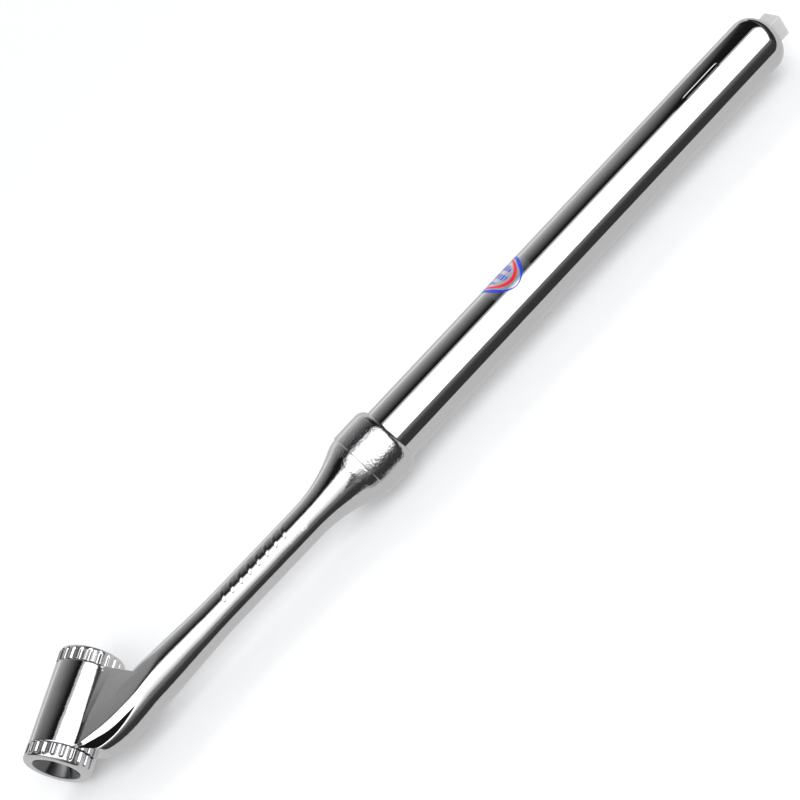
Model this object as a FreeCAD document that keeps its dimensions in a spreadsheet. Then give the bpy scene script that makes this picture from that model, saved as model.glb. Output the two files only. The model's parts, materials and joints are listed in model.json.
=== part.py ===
"""Dual-foot stick tyre pressure gauge.

A die-cast head carries two feet back to back.  Air from the pressed foot runs down the neck into
the barrel tube, where it drives a piston against a calibrated spring and pushes out a graduated
square bar.  The origin is on the tube axis at the middle of the collar, where head and tube join.
+X runs along the tube to the bar's tip, the foot barrel lies in the XY plane, and +Z is up when
the gauge lies flat.  Lengths are in millimetres and angles in degrees.
"""
import FreeCAD, Part
import Sketcher
import math
import os

doc = FreeCAD.newDocument("tyre_gauge")
sheet = doc.addObject("Spreadsheet::Sheet", "sizes")
V = FreeCAD.Vector

DRIVING_SIZES = {
    # collar, neck and head casting
    "collar_radius": 9.87,
    "collar_length": 10.6,
    "collar_round_length": 2.6,
    "collar_round_drop": 1.6,
    "shoulder_step": 0.25,
    "shoulder_length": 3.2,
    "flare_radius": 8.65,
    "flare_length": 20.0,
    "neck_radius": 5.03,
    "elbow_run": 21.8,
    "neck_lean": 0.75,
    "neck_swell": 20.6,
    "neck_head_radius": 6.15,
    "elbow_belly_radius": 6.1,
    "elbow_knee_radius": 5.6,
    "elbow_end_radius": 4.6,
    "elbow_bulge": 0.85,
    "elbow_lag": 12.0,
    "elbow_knee_rise": 1.5,
    "elbow_end_rise": 6.0,
    "spot_face_clearance": 12.0,
    "spot_face_depth": 7.0,
    "head_reach": 101.1,
    "head_rise": 15.0,
    "foot_angle": 38.65,
    "barrel_radius": 8.7,
    "barrel_length": 22.2,
    "web_barrel_distance": 5.0,
    "web_neck_distance": 17.5,
    "web_barrel_upper": 10.3,
    "web_barrel_lower": 9.4,
    "web_neck_upper": 8.6,
    "web_neck_lower": 5.0,
    "web_barrel_half": 3.9,
    "web_neck_half": 5.0,
    "passage_radius": 1.6,
    "air_chamber_radius": 5.0,
    "air_chamber_depth": 5.0,
    "mark_width": 1.0,
    "mark_span": 3.3,
    "mark_relief": 0.35,
    "mark_pitch": 3.1,
    "mark_count": 8,
    "mark_start": 25.4,
    "mark_turn": 14.0,
    # feet
    "ring_radius": 8.8,
    "ring_height": 4.26,
    "ring_mouth_radius": 6.2,
    "ring_lip_round": 1.3,
    "ring_mouth_round": 0.5,
    "ring_gap": 0.18,
    "scallop_count": 25,
    "scallop_radius": 0.72,
    "scallop_depth": 0.42,
    "scallop_length": 2.6,
    "thread_radius": 7.2,
    "thread_clearance": 0.05,
    "spigot_length": 4.1,
    "relief_radius": 4.6,
    "guide_radius": 4.1,
    "guide_length": 3.0,
    "funnel_depth": 3.1,
    "washer_thickness": 2.6,
    "slip_washer_thickness": 0.3,
    "slip_washer_hole_radius": 4.7,
    "washer_hole_radius": 2.4,
    "chamber_radius": 4.6,
    "shuttle_rod_radius": 1.3,
    "shuttle_hub_radius": 3.4,
    "shuttle_travel": 0.6,
    "shuttle_tip_proud": 1.6,
    "shuttle_flange_half": 0.8,
    "shuttle_notch_radius": 0.95,
    "shuttle_notch_count": 4,
    "running_clearance": 0.05,
    # tube
    "tube_radius": 8.0,
    "tube_wall": 0.7,
    "tube_reach": 150.2,
    "tube_engagement": 8.0,
    "tube_mouth_radius": 4.42,
    "dome_length": 5.0,
    "mouth_land": 0.9,
    "key_start": 18.0,
    "key_length": 11.5,
    "key_width": 1.8,
    "key_depth": 0.3,
    "key_turn": 108.0,
    "gasket_thickness": 1.0,
    "gasket_width": 1.65,
    # piston
    "cup_length": 4.6,
    "cup_base": 1.7,
    "cup_lip": 1.0,
    "cup_washer_thickness": 0.8,
    "cup_washer_clearance": 0.4,
    "screw_head_radius": 2.9,
    "screw_head_length": 1.5,
    "screw_slot_width": 0.8,
    "screw_slot_depth": 0.7,
    "screw_radius": 1.5,
    "screw_length": 5.6,
    "piston_clearance": 0.08,
    "piston_flange_length": 2.6,
    "piston_hub_radius": 4.5,
    "piston_hub_length": 4.0,
    "piston_rear_land": 0.5,
    # spring
    "spring_wire_radius": 0.85,
    "spring_mean_radius": 5.7,
    "spring_turns": 24,
    "spring_seat_gap": 0.05,
    # bar and its guide
    "bar_side": 6.07,
    "bar_protrusion": 3.8,
    "bar_turn": -8.6,
    "bar_edge_chamfer": 0.25,
    "stop_radius": 4.5,
    "stop_thickness": 1.5,
    "stop_pin_radius": 1.2,
    "stop_pin_length": 3.0,
    "stop_pin_clearance": 0.03,
    "stop_hole_spare": 0.2,
    "bushing_length": 11.0,
    "bushing_nose_length": 2.9,
    "bushing_nose_radius": 5.6,
    "bushing_press_gap": 0.03,
    "bushing_square_clearance": 0.08,
    "seat_washer_thickness": 0.8,
    "seat_washer_clearance": 0.3,
    "leaf_length": 6.4,
    "leaf_width": 3.0,
    "leaf_thickness": 0.25,
    "leaf_arch": 0.55,
    "leaf_clearance": 0.06,
    "leaf_end_play": 0.4,
    "leaf_inset": 1.6,
    "leaf_side_play": 0.2,
    "leaf_pocket_overlap": 0.5,
    # label
    "label_start": 49.4,
    "label_length": 13.2,
    "label_wrap": 72.0,
    "label_turn": 88.0,
    "label_thickness": 0.08,
    "label_glue": 0.03,
}

for row, (alias, amount) in enumerate(DRIVING_SIZES.items(), start=1):
    sheet.set(f"A{row}", alias)
    sheet.set(f"B{row}", str(amount))
    sheet.setAlias(f"B{row}", alias)
doc.recompute()


class Size:
    """A number together with the spreadsheet formula that it comes from."""

    def __init__(self, number, formula):
        self.number = float(number)
        self.formula = formula

    def __add__(self, other):
        other = as_size(other)
        return Size(self.number + other.number, f"({self.formula} + {other.formula})")

    def __radd__(self, other):
        return as_size(other) + self

    def __sub__(self, other):
        other = as_size(other)
        return Size(self.number - other.number, f"({self.formula} - {other.formula})")

    def __rsub__(self, other):
        return as_size(other) - self

    def __mul__(self, other):
        other = as_size(other)
        return Size(self.number * other.number, f"({self.formula} * {other.formula})")

    def __rmul__(self, other):
        return as_size(other) * self

    def __truediv__(self, other):
        other = as_size(other)
        return Size(self.number / other.number, f"({self.formula} / {other.formula})")

    def __neg__(self):
        return Size(-self.number, f"(0 - {self.formula})")


def as_size(value):
    """A plain number becomes a Size whose formula is that number."""
    return value if isinstance(value, Size) else Size(value, repr(float(value)))


def size(alias):
    """The driving size of this name."""
    return Size(sheet.get(alias), f"sizes.{alias}")


def cosine(angle):
    """Cosine of a Size that holds degrees."""
    return Size(math.cos(math.radians(angle.number)), f"cos({angle.formula} * 1 deg)")


def sine(angle):
    """Sine of a Size that holds degrees."""
    return Size(math.sin(math.radians(angle.number)), f"sin({angle.formula} * 1 deg)")


def tangent_arc_radius(run, drop):
    """Radius of an arc that leaves a straight wall and falls by drop over the length run."""
    return (run * run + drop * drop) / (2 * drop)


def bind(item, prop, value):
    """Tie a property of a document object to the spreadsheet."""
    item.setExpression(prop, as_size(value).formula)


ZERO = as_size(0)
AXIS_Z = V(0, 0, 1)

# Each origin plane: its local axes as signed global axes, and the local axis that is global Z.
PLANES = {
    "XY_Plane": (lambda p: (p[0], p[1], p[2]), V(0, 0, 1)),
    "XZ_Plane": (lambda p: (p[0], p[2], -p[1]), V(0, 1, 0)),
    "YZ_Plane": (lambda p: (p[1], p[2], p[0]), V(0, 1, 0)),
}


def new_body(label):
    """An empty PartDesign body; its Label names the sub-part's file."""
    body = doc.addObject("PartDesign::Body", label)
    body.Label = label
    return body


def plane_sketch(body, name, role="XY_Plane", at=(ZERO, ZERO, ZERO), turn=ZERO, about=None):
    """A sketch on a plane of the body's own origin, moved to a point and turned.

    It turns about global Z unless another local axis is given.
    """
    sketch = body.newObject("Sketcher::SketchObject", name)
    plane = [f for f in body.Origin.OriginFeatures if f.Role == role][0]
    sketch.AttachmentSupport = [(plane, "")]
    sketch.MapMode = "FlatFace"
    to_local, upright = PLANES[role]
    turn_axis = about or upright
    local = to_local([as_size(c) for c in at])
    turn = as_size(turn)
    sketch.AttachmentOffset = FreeCAD.Placement(
        V(*[c.number for c in local]), FreeCAD.Rotation(turn_axis, turn.number or 1e-9))
    for axis, coordinate in zip("xyz", local):
        if coordinate.formula != ZERO.formula:
            bind(sketch, f".AttachmentOffset.Base.{axis}", coordinate)
    if turn.formula != ZERO.formula:
        bind(sketch, ".AttachmentOffset.Rotation.Angle", turn)
    return sketch


def hold(sketch, kind, geometry, end, value):
    """Hold one coordinate of a point by a formula, or put the point on an axis."""
    if value.formula == ZERO.formula:
        axis = -1 if kind == "DistanceY" else -2
        sketch.addConstraint(Sketcher.Constraint("PointOnObject", geometry, end, axis))
        return
    row = sketch.addConstraint(Sketcher.Constraint(kind, geometry, end, value.number))
    bind(sketch, f"Constraints[{row}]", value)


def arc_edge(start, finish, radius, turn):
    """The arc from start to finish; turn is +1 for anticlockwise and -1 for clockwise."""
    half_chord = (finish - start) * 0.5
    rise = math.sqrt(max(radius ** 2 - half_chord.Length ** 2, 0.0))
    side = V(-half_chord.y, half_chord.x, 0).normalize()
    centre = start + half_chord + side * rise * turn
    first, last = (start, finish) if turn > 0 else (finish, start)
    angles = [math.atan2(p.y - centre.y, p.x - centre.x) for p in (first, last)]
    if angles[1] < angles[0]:
        angles[1] += 2 * math.pi
    return Part.ArcOfCircle(Part.Circle(centre, V(0, 0, 1), radius), *angles)


def outline(sketch, corners, arcs=None):
    """A closed outline through corners, each held by two formulas.

    arcs maps a run's number to (radius, turn) where that run is round.
    """
    arcs = arcs or {}
    corners = [tuple(as_size(c) for c in corner) for corner in corners]
    points = [V(x.number, y.number, 0) for x, y in corners]
    starts = []
    for run, start in enumerate(points):
        finish = points[(run + 1) % len(points)]
        if run in arcs:
            radius, turn = arcs[run]
            edge = arc_edge(start, finish, radius.number, turn)
            starts.append((1, 2) if turn > 0 else (2, 1))
        else:
            edge = Part.LineSegment(start, finish)
            starts.append((1, 2))
        sketch.addGeometry(edge, False)
    for run in range(len(points)):
        following = (run + 1) % len(points)
        sketch.addConstraint(Sketcher.Constraint(
            "Coincident", run, starts[run][1], following, starts[following][0]))
        hold(sketch, "DistanceX", run, starts[run][0], corners[run][0])
        hold(sketch, "DistanceY", run, starts[run][0], corners[run][1])
        if run in arcs:
            row = sketch.addConstraint(Sketcher.Constraint("Radius", run, arcs[run][0].number))
            bind(sketch, f"Constraints[{row}]", arcs[run][0])


def circle(sketch, centre, radius):
    """A full circle held by its centre and radius."""
    centre = [as_size(c) for c in centre]
    middle = V(centre[0].number, centre[1].number, 0)
    row = sketch.addGeometry(Part.Circle(middle, V(0, 0, 1), radius.number), False)
    hold(sketch, "DistanceX", row, 3, centre[0])
    hold(sketch, "DistanceY", row, 3, centre[1])
    constraint = sketch.addConstraint(Sketcher.Constraint("Radius", row, radius.number))
    bind(sketch, f"Constraints[{constraint}]", radius)


def turned(body, name, corners, arcs=None, at=(ZERO, ZERO, ZERO), turn=ZERO, cut=False):
    """Turn an outline about its sketch's X axis, as a lathe would, to add or cut material."""
    sketch = plane_sketch(body, f"{name}_outline", "XY_Plane", at, turn)
    outline(sketch, corners, arcs)
    kind = "PartDesign::Groove" if cut else "PartDesign::Revolution"
    feature = body.newObject(kind, name)
    feature.Profile = sketch
    feature.ReferenceAxis = (sketch, ["H_Axis"])
    feature.Angle = 360
    return feature


def turned_rectangle(body, name, first, last, inner, outer, **place):
    """A turned ring or disc between two stations and two radii."""
    corners = [(first, inner), (last, inner), (last, outer), (first, outer)]
    return turned(body, name, corners, **place)


def extruded(body, name, sketch, length, cut=False, midplane=False, reverse=False):
    """Pad or pocket a sketch by a length."""
    feature = body.newObject("PartDesign::Pocket" if cut else "PartDesign::Pad", name)
    feature.Profile = sketch
    bind(feature, "Length", length)
    feature.Length = as_size(length).number
    if midplane:
        feature.Midplane = True
    feature.Reversed = reverse
    return feature


def polar_copies(body, name, feature, count):
    """Repeat a feature evenly around the body's X axis."""
    pattern = body.newObject("PartDesign::PolarPattern", name)
    pattern.Originals = [feature]
    axis = [f for f in body.Origin.OriginFeatures if f.Role == "X_Axis"][0]
    pattern.Axis = (axis, [""])
    pattern.Angle = 360
    pattern.Occurrences = round(count.number)
    bind(pattern, "Occurrences", count)
    body.Tip = pattern
    return pattern


def round_edges(body, name, wanted, amount, kind="PartDesign::Fillet"):
    """Fillet or chamfer those edges of the body's tip that the test picks."""
    doc.recompute()
    base = body.Tip
    names = [f"Edge{i}" for i, edge in enumerate(base.Shape.Edges, start=1) if wanted(edge)]
    feature = body.newObject(kind, name)
    feature.Base = (base, names)
    prop = "Radius" if kind == "PartDesign::Fillet" else "Size"
    setattr(feature, prop, amount.number)
    bind(feature, prop, amount)
    body.Tip = feature
    return feature


def is_hoop(edge, station, radius):
    """True for a full circle about the X axis at this station and radius."""
    if not isinstance(edge.Curve, Part.Circle):
        return False
    centre = edge.Curve.Center
    on_axis = math.hypot(centre.y, centre.z) < 1e-4
    at_station = abs(centre.x - station.number) < 1e-4
    return on_axis and at_station and abs(edge.Curve.Radius - radius.number) < 1e-4


def place(item, position=(ZERO, ZERO, ZERO), axis=AXIS_Z, turn=ZERO):
    """Set an object's Placement from sizes."""
    position = [as_size(c) for c in position]
    turn = as_size(turn)
    item.Placement = FreeCAD.Placement(
        V(*[c.number for c in position]), FreeCAD.Rotation(axis, turn.number or 1e-9))
    for letter, coordinate in zip("xyz", position):
        if coordinate.formula != ZERO.formula:
            bind(item, f".Placement.Base.{letter}", coordinate)
    if turn.formula != ZERO.formula:
        bind(item, ".Placement.Rotation.Angle", turn)


# ---------------------------------------------------------------- shared stations

collar_half = size("collar_length") / 2
tube_base = collar_half - size("tube_engagement")
tube_bore = size("tube_radius") - size("tube_wall")
socket_floor = tube_base - size("gasket_thickness")

barrel_half = size("barrel_length") / 2
neck_length = size("head_reach") - size("elbow_run") - collar_half
swell_start = neck_length - size("neck_swell")
barrel_centre = (-size("head_reach"), size("head_rise"), ZERO)
lower_turn = size("foot_angle") + 180
upper_turn = size("foot_angle")
FEET = {"lower": lower_turn, "upper": upper_turn}

spigot_end = barrel_half - size("spigot_length")
slip_end = spigot_end + size("slip_washer_thickness")
washer_outer = size("thread_radius") - size("thread_clearance")
chamber_half = spigot_end - size("washer_thickness")
rim = barrel_half + size("ring_height")
guide_outer = rim - size("funnel_depth")
guide_inner = guide_outer - size("guide_length")

cup_start = tube_base + size("spring_seat_gap")
cup_end = cup_start + size("cup_length")
cup_floor = cup_end - size("cup_base")
piston_flange_end = cup_end + size("piston_flange_length")
piston_end = piston_flange_end + size("piston_hub_length")
stop_start = piston_end + size("spring_seat_gap")
bar_start = stop_start + size("stop_thickness")
bar_tip = size("tube_reach") + size("bar_protrusion")

dome_start = size("tube_reach") - size("dome_length")
bushing_start = dome_start + size("bushing_nose_length") - size("bushing_length")
seat_washer_start = bushing_start - size("seat_washer_thickness")
bushing_hole = size("bar_side") + 2 * size("bushing_square_clearance")


# ---------------------------------------------------------------- head casting

def neck_rise(station):
    """How far the leaning neck's axis has risen towards +Y at this station along X."""
    return (-collar_half - station) * sine(size("neck_lean")) / cosine(size("neck_lean"))


def elbow_stations():
    """The neck's centre line as it swells and bends into the foot barrel.

    Each station is (x, y, radius, direction of travel in degrees from +X).
    """
    straight_ahead = 180 - size("neck_lean")
    towards_barrel = 180 - size("foot_angle")
    neck_end = -collar_half - neck_length * cosine(size("neck_lean"))
    belly = size("head_reach") - size("barrel_radius")
    knee = size("head_reach") + size("elbow_bulge")
    finish = knee + size("elbow_end_radius")
    rise = neck_rise(-belly)
    half_turned = towards_barrel + size("elbow_lag")
    return [
        (neck_end, neck_rise(neck_end), size("neck_head_radius"), straight_ahead),
        (-belly, rise - size("elbow_bulge"), size("elbow_belly_radius"), straight_ahead),
        (-knee, rise + size("elbow_knee_rise"), size("elbow_knee_radius"), half_turned),
        (-finish, rise + size("elbow_end_rise"), size("elbow_end_radius"), towards_barrel),
    ]


def make_head_casting():
    """Collar, flared neck, elbow, web and foot barrel, cast in one and then bored."""
    body = new_body("head_casting")
    collar_back = -collar_half
    shoulder_radius = size("collar_radius") - size("shoulder_step")
    flare_run = size("flare_length") - size("shoulder_length")
    flare_drop = size("flare_radius") - size("neck_radius")
    shoulder_drop = shoulder_radius - size("flare_radius")
    round_start = collar_half - size("collar_round_length")
    round_foot = size("collar_radius") - size("collar_round_drop")
    turned(body, "collar", [
        (collar_back, 0),
        (collar_half, 0),
        (collar_half, round_foot),
        (round_start, size("collar_radius")),
        (collar_back, size("collar_radius")),
    ], arcs={2: (tangent_arc_radius(size("collar_round_length"), size("collar_round_drop")), +1)})

    turned(body, "neck", [
        (-neck_length, 0),
        (collar_half, 0),
        (collar_half, shoulder_radius),
        (0, shoulder_radius),
        (-size("shoulder_length"), size("flare_radius")),
        (-size("flare_length"), size("neck_radius")),
        (-swell_start, size("neck_radius")),
        (-neck_length, size("neck_head_radius")),
    ], arcs={
        3: (tangent_arc_radius(size("shoulder_length"), shoulder_drop), +1),
        4: (tangent_arc_radius(flare_run, flare_drop), -1),
    }, at=(collar_back, ZERO, ZERO), turn=-size("neck_lean"))

    elbow = body.newObject("PartDesign::AdditiveLoft", "elbow")
    sections = []
    for number, (x, y, radius, heading) in enumerate(elbow_stations(), start=1):
        sketch = plane_sketch(body, f"elbow_section_{number}", "YZ_Plane", (x, y, ZERO), heading)
        circle(sketch, (0, 0), radius)
        sections.append(sketch)
    elbow.Profile = sections[0]
    elbow.Sections = sections[1:]

    turned_rectangle(body, "foot_barrel", -barrel_half, barrel_half, 0, size("barrel_radius"),
                     at=barrel_centre, turn=lower_turn)

    make_web(body)
    turned_rectangle(body, "spot_face", barrel_half, barrel_half + size("spot_face_depth"), 0,
                     size("ring_radius") + size("spot_face_clearance"),
                     at=barrel_centre, turn=lower_turn, cut=True)
    bore_head(body)
    add_marks(body)
    return body


def barrel_point(outward):
    """The point this far out from the foot barrel's centre, square to its axis, on the neck side."""
    x = outward * sine(size("foot_angle")) - size("head_reach")
    y = size("head_rise") - outward * cosine(size("foot_angle"))
    return (x, y, ZERO)


def make_web(body):
    """The web between neck and barrel: a ruled block, thick at the neck and thin at the barrel."""
    sketches = []
    for end in ("barrel", "neck"):
        outward = size(f"web_{end}_distance")
        half = size(f"web_{end}_half")
        first = -size(f"web_{end}_upper")
        last = size(f"web_{end}_lower")
        sketch = plane_sketch(body, f"web_at_{end}", "XZ_Plane", barrel_point(outward), lower_turn)
        outline(sketch, [(first, -half), (last, -half), (last, half), (first, half)])
        sketches.append(sketch)
    web = body.newObject("PartDesign::AdditiveLoft", "web")
    web.Profile = sketches[0]
    web.Sections = [sketches[1]]
    web.Ruled = True


def bore_head(body):
    """The tube socket, the air passage down the neck, and the stepped bore through both feet."""
    radius = size("tube_radius") + size("thread_clearance")
    chamber_floor = socket_floor - size("air_chamber_depth")
    turned_rectangle(body, "tube_socket", socket_floor, collar_half, 0, radius, cut=True)
    turned_rectangle(body, "air_chamber", chamber_floor, socket_floor, 0,
                     size("air_chamber_radius"), cut=True)
    reach = size("head_rise") / cosine(size("foot_angle"))
    passage_end = reach * sine(size("foot_angle")) - size("head_reach")
    turned_rectangle(body, "neck_passage", passage_end + collar_half, chamber_floor + collar_half, 0,
                     size("passage_radius"), at=(-collar_half, ZERO, ZERO),
                     turn=-size("neck_lean"), cut=True)
    turned_rectangle(body, "cross_passage", 0, reach, 0, size("passage_radius"),
                     at=barrel_centre, turn=size("foot_angle") - 90, cut=True)
    turned(body, "foot_bore", [
        (-barrel_half, 0),
        (barrel_half, 0),
        (barrel_half, size("thread_radius")),
        (chamber_half, size("thread_radius")),
        (chamber_half, size("chamber_radius")),
        (-chamber_half, size("chamber_radius")),
        (-chamber_half, size("thread_radius")),
        (-barrel_half, size("thread_radius")),
    ], at=barrel_centre, turn=lower_turn, cut=True)


def add_marks(body):
    """A row of plain raised bars on top of the neck."""
    top = size("neck_radius") + size("mark_relief")
    first = -(collar_half + size("mark_start"))
    half_span = size("mark_span") / 2
    slant = size("mark_width")
    last = first - slant
    tilt = size("mark_turn")
    middle = first - size("mark_pitch") * (size("mark_count") - 1) / 2
    seat = (ZERO, neck_rise(middle) - top * sine(tilt), top * cosine(tilt))
    sketch = plane_sketch(body, "mark_outline", "XY_Plane", seat, tilt, about=V(1, 0, 0))
    outline(sketch, [
        (last, -half_span), (first, -half_span), (first + slant, half_span), (last + slant, half_span),
    ])
    mark = extruded(body, "mark", sketch, 4 * size("mark_relief"), reverse=True)
    pattern = body.newObject("PartDesign::LinearPattern", "mark_row")
    pattern.Originals = [mark]
    pattern.Direction = (sketch, ["H_Axis"])
    pattern.Reversed = True
    pattern.Occurrences = round(size("mark_count").number)
    bind(pattern, "Occurrences", size("mark_count"))
    gaps = size("mark_count") - 1
    pattern.Length = (size("mark_pitch") * gaps).number
    bind(pattern, "Length", size("mark_pitch") * gaps)
    body.Tip = pattern


# ---------------------------------------------------------------- feet

def make_cap_ring(foot):
    """A scalloped ring nut that clamps the seal washer and funnels the tyre valve in."""
    body = new_body(f"{foot}_cap_ring")
    start = barrel_half + size("ring_gap")
    turned(body, f"{foot}_ring_turning", [
        (slip_end, size("relief_radius")),
        (guide_inner, size("relief_radius")),
        (guide_inner, size("guide_radius")),
        (guide_outer, size("guide_radius")),
        (rim, size("ring_mouth_radius")),
        (rim, size("ring_radius")),
        (start, size("ring_radius")),
        (start, washer_outer),
        (slip_end, washer_outer),
    ])
    round_edges(body, f"{foot}_ring_lip", lambda e: is_hoop(e, rim, size("ring_radius")),
                size("ring_lip_round"))
    round_edges(body, f"{foot}_ring_mouth", lambda e: is_hoop(e, rim, size("ring_mouth_radius")),
                size("ring_mouth_round"))
    sketch = plane_sketch(body, f"{foot}_scallop_outline", "YZ_Plane", (start, ZERO, ZERO))
    centre = size("ring_radius") + size("scallop_radius") - size("scallop_depth")
    circle(sketch, (centre, 0), size("scallop_radius"))
    scallop = extruded(body, f"{foot}_scallop", sketch, size("scallop_length"), cut=True,
                       reverse=True)
    polar_copies(body, f"{foot}_scallops", scallop, size("scallop_count"))
    place(body, barrel_centre, AXIS_Z, FEET[foot])
    return body


def make_seal_washer(foot):
    """The thick rubber washer that the tyre valve's rim seals against."""
    body = new_body(f"{foot}_seal_washer")
    turned_rectangle(body, f"{foot}_washer_turning", chamber_half, spigot_end,
                     size("washer_hole_radius"), washer_outer)
    place(body, barrel_centre, AXIS_Z, FEET[foot])
    return body


def make_slip_washer(foot):
    """The thin brass washer that lets the ring turn tight without dragging the rubber round."""
    body = new_body(f"{foot}_slip_washer")
    turned_rectangle(body, f"{foot}_slip_turning", spigot_end, slip_end,
                     size("slip_washer_hole_radius"), washer_outer)
    place(body, barrel_centre, AXIS_Z, FEET[foot])
    return body


def make_shuttle_pin():
    """The double-ended pin: it opens the tyre valve at one foot and shuts off the other foot."""
    body = new_body("shuttle_pin")
    hub_half = chamber_half - size("shuttle_travel")
    tip = spigot_end + size("shuttle_tip_proud")
    flange = size("chamber_radius") - size("running_clearance")
    flange_half = size("shuttle_flange_half")
    turned(body, "pin_turning", [
        (-tip, 0),
        (tip, 0),
        (tip, size("shuttle_rod_radius")),
        (hub_half, size("shuttle_rod_radius")),
        (hub_half, size("shuttle_hub_radius")),
        (flange_half, size("shuttle_hub_radius")),
        (flange_half, flange),
        (-flange_half, flange),
        (-flange_half, size("shuttle_hub_radius")),
        (-hub_half, size("shuttle_hub_radius")),
        (-hub_half, size("shuttle_rod_radius")),
        (-tip, size("shuttle_rod_radius")),
    ])
    sketch = plane_sketch(body, "air_notch_outline", "YZ_Plane", (flange_half, ZERO, ZERO))
    circle(sketch, (flange, 0), size("shuttle_notch_radius"))
    notch = extruded(body, "air_notch", sketch, 2 * flange_half, cut=True)
    polar_copies(body, "air_notches", notch, size("shuttle_notch_count"))
    place(body, barrel_centre, AXIS_Z, lower_turn)
    return body


# ---------------------------------------------------------------- tube and its fittings

def make_barrel_tube():
    """The drawn tube, its end spun in around the bar, with a short pressed key groove."""
    body = new_body("barrel_tube")
    end = size("tube_reach")
    land = end - size("mouth_land")
    inner_run = size("dome_length") - size("mouth_land")
    inner_drop = tube_bore - size("tube_mouth_radius")
    outer_drop = size("tube_radius") - size("tube_mouth_radius")
    turned(body, "tube_turning", [
        (tube_base, tube_bore),
        (dome_start, tube_bore),
        (land, size("tube_mouth_radius")),
        (end, size("tube_mouth_radius")),
        (dome_start, size("tube_radius")),
        (tube_base, size("tube_radius")),
    ], arcs={
        1: (tangent_arc_radius(inner_run, inner_drop), -1),
        3: (tangent_arc_radius(size("dome_length"), outer_drop), +1),
    })
    finish = end - size("key_start")
    start = finish - size("key_length")
    half_width = size("key_width") / 2
    sketch = plane_sketch(body, "key_outline", "XY_Plane", (ZERO, ZERO, size("tube_radius")))
    outline(sketch, [
        (start, -half_width), (finish, -half_width), (finish, half_width), (start, half_width),
    ])
    extruded(body, "key_groove", sketch, size("key_depth"), cut=True)
    place(body, axis=V(1, 0, 0), turn=size("key_turn") - 90)
    return body


def make_tube_gasket():
    """The flat gasket between the tube's end and the floor of its socket."""
    body = new_body("tube_gasket")
    outer = size("tube_radius")
    turned_rectangle(body, "gasket_turning", socket_floor, tube_base,
                     outer - size("gasket_width"), outer)
    return body


def make_piston_cup():
    """The soft cup whose lip seals on the tube's bore and faces the air."""
    body = new_body("piston_cup")
    outer = tube_bore - size("running_clearance")
    turned(body, "cup_turning", [
        (cup_start, outer - size("cup_lip")),
        (cup_start, outer),
        (cup_end, outer),
        (cup_end, size("screw_radius") + size("running_clearance")),
        (cup_floor, size("screw_radius") + size("running_clearance")),
        (cup_floor, outer - size("cup_lip")),
    ])
    return body


def make_cup_washer():
    """The metal washer inside the cup that spreads the screw's grip."""
    body = new_body("cup_washer")
    outer = tube_bore - size("running_clearance") - size("cup_lip") - size("cup_washer_clearance")
    turned_rectangle(body, "cup_washer_turning", cup_floor - size("cup_washer_thickness"),
                     cup_floor, size("screw_radius") + size("running_clearance"), outer)
    return body


def make_cup_screw():
    """The slotted screw that holds washer and cup to the piston."""
    body = new_body("cup_screw")
    seat = cup_floor - size("cup_washer_thickness")
    head = seat - size("screw_head_length")
    turned(body, "cup_screw_turning", [
        (head, 0),
        (seat + size("screw_length"), 0),
        (seat + size("screw_length"), size("screw_radius")),
        (seat, size("screw_radius")),
        (seat, size("screw_head_radius")),
        (head, size("screw_head_radius")),
    ])
    sketch = plane_sketch(body, "screw_slot_outline", "YZ_Plane", (head, ZERO, ZERO))
    half_width = size("screw_slot_width") / 2
    reach = size("screw_head_radius") * 2
    outline(sketch, [
        (-reach, -half_width), (reach, -half_width), (reach, half_width), (-reach, half_width),
    ])
    extruded(body, "screw_slot", sketch, size("screw_slot_depth"), cut=True, reverse=True)
    return body


def make_piston():
    """The piston: a flange that carries the spring and a hub that pushes the bar."""
    body = new_body("piston")
    hole = size("screw_radius") + size("running_clearance")
    depth = cup_floor - size("cup_washer_thickness") + size("screw_length") + size("piston_rear_land")
    turned(body, "piston_turning", [
        (cup_end, hole),
        (cup_end, tube_bore - size("piston_clearance")),
        (piston_flange_end, tube_bore - size("piston_clearance")),
        (piston_flange_end, size("piston_hub_radius")),
        (piston_end, size("piston_hub_radius")),
        (piston_end, 0),
        (depth, 0),
        (depth, hole),
    ])
    return body


def make_spring():
    """The calibrated spring: round wire swept along a helix inside the tube."""
    wire = size("spring_wire_radius")
    gap = size("spring_seat_gap")
    start = piston_flange_end + wire + gap
    length = seat_washer_start - piston_flange_end - 2 * wire - 2 * gap
    helix = doc.addObject("Part::Helix", "spring_centre_line")
    bind(helix, "Radius", size("spring_mean_radius"))
    bind(helix, "Height", length)
    bind(helix, "Pitch", length / size("spring_turns"))
    section = doc.addObject("Part::Circle", "spring_wire_section")
    bind(section, "Radius", wire)
    section.Placement = FreeCAD.Placement(V(0, 0, 0), FreeCAD.Rotation(V(1, 0, 0), 90))
    bind(section, ".Placement.Base.x", size("spring_mean_radius"))
    doc.recompute()
    spring = doc.addObject("Part::Sweep", "calibrated_spring")
    spring.Sections = [section]
    spring.Spine = (helix, [])
    spring.Solid = True
    spring.Frenet = True
    spring.Label = "calibrated_spring"
    spring.Placement = FreeCAD.Placement(V(start.number, 0, 0), FreeCAD.Rotation(V(0, 1, 0), 90))
    bind(spring, ".Placement.Base.x", start)
    return spring


def make_seat_washer():
    """The steel washer between the spring and the end bushing."""
    body = new_body("spring_seat_washer")
    corner = size("bar_side") * math.sqrt(0.5)
    turned_rectangle(body, "seat_washer_turning", seat_washer_start, bushing_start,
                     corner + size("seat_washer_clearance"), tube_bore - size("piston_clearance"))
    return body


# ---------------------------------------------------------------- bar, stop, bushing and leaf

def square_outline(sketch, side):
    """A square centred on the sketch's origin."""
    half = side / 2
    outline(sketch, [(-half, -half), (half, -half), (half, half), (-half, half)])


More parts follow.
